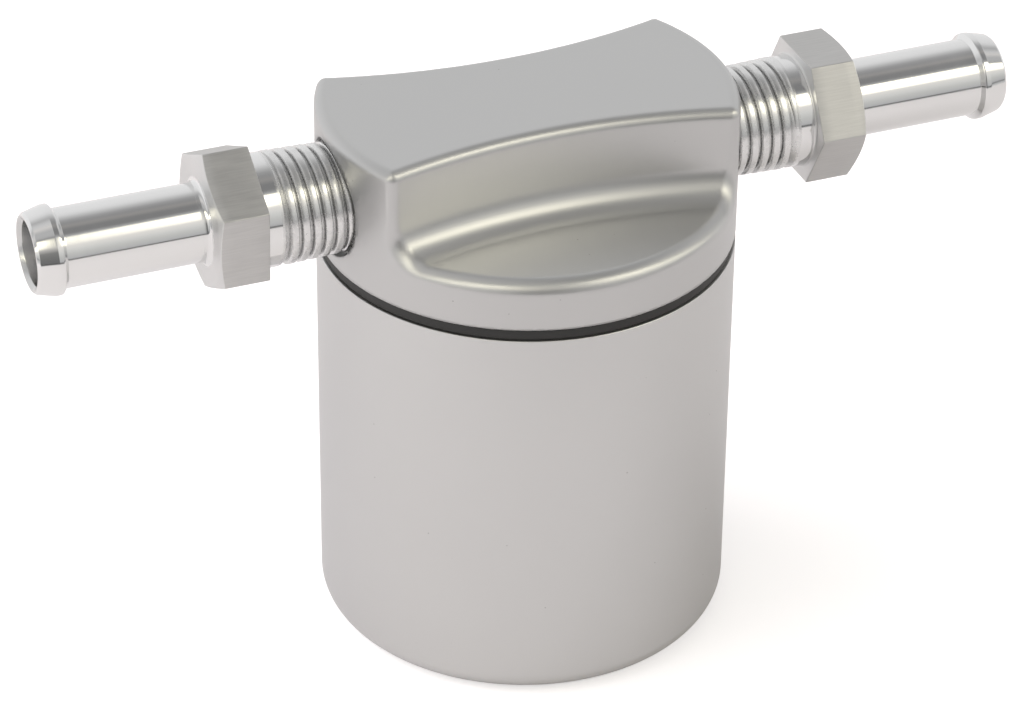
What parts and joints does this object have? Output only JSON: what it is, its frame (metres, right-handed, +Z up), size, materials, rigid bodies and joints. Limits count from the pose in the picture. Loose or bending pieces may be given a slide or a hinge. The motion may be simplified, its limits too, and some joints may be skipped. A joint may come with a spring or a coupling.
{
  "type": "oil catch can",
  "caption": "Small turned aluminium oil catch can with a screwed twist-off lid, barbed hose fittings in the lid's sides and a baffle stack inside.",
  "frame": {"origin": "middle of the can's base, on the surface it stands on", "axes": "+Z up along the can's axis, +X along the outlet fitting, so the inlet fitting points to -X and the grip's scallops face -Y and +Y"},
  "size_m": [0.124, 0.0508, 0.0704],
  "materials": {
    "satin_aluminium": "bead blasted and clear anodised, satin grey",
    "bright_fitting": "bright as turned, fine tool marks",
    "black_rubber": "matt black",
    "stainless": "plain stainless",
    "bare_aluminium": "as turned",
    "knitted_steel": "knitted wire"
  },
  "bodies": {
    "can": {"can": "satin_aluminium"},
    "seal": {"lid_seal": "black_rubber"},
    "lid": {"lid": "satin_aluminium", "inlet_fitting": "bright_fitting", "outlet_fitting": "bright_fitting", "inlet_tube": "stainless", "tube_seal": "black_rubber", "stack_stud": "stainless", "upper_spacer": "bare_aluminium", "upper_screen": "stainless", "fine_mesh": "knitted_steel", "coarse_mesh": "knitted_steel", "lower_screen": "stainless", "lower_spacer": "bare_aluminium", "splash_plate": "stainless", "stud_washer": "stainless", "lock_nut": "stainless"}
  },
  "joints": [
    {"name": "lid_rise", "type": "slide", "parent": "can", "child": "seal", "axis": [0, 0, 1], "range_m": [0, 0.006]},
    {"name": "lid_turn", "type": "hinge", "parent": "seal", "child": "lid", "pos_m": [0, 0, 0.053], "axis": [0, 0, 1], "range_deg": [0, 1440]}
  ],
  "couplings": [
    {"joint": "lid_rise", "follows": "lid_turn", "m_per_rad": 0.00023873}
  ]
}
